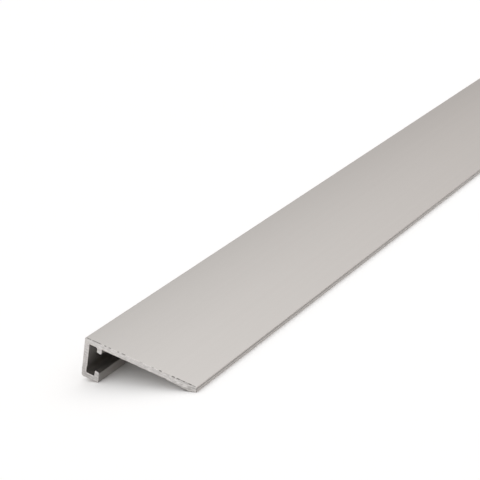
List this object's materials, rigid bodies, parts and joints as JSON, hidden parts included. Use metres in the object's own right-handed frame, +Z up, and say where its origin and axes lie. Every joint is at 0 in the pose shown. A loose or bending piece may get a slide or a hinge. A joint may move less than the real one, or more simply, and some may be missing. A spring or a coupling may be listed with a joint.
{
  "type": "aluminium extrusion profile",
  "caption": "Straight aluminium extrusion with a wide flat flange and a narrow lipped channel under one long edge, for edging or capping a panel.",
  "frame": {"origin": "middle of the bar's footprint on the floor it lies on", "axes": "+Y along the stock, +Z up, +X from the channel towards the free edge of the flange"},
  "size_m": [0.0472, 1, 0.0165],
  "materials": {
    "anodised_aluminium": "satin"
  },
  "bodies": {
    "root": {"extruded_profile": "anodised_aluminium"}
  },
  "joints": []
}
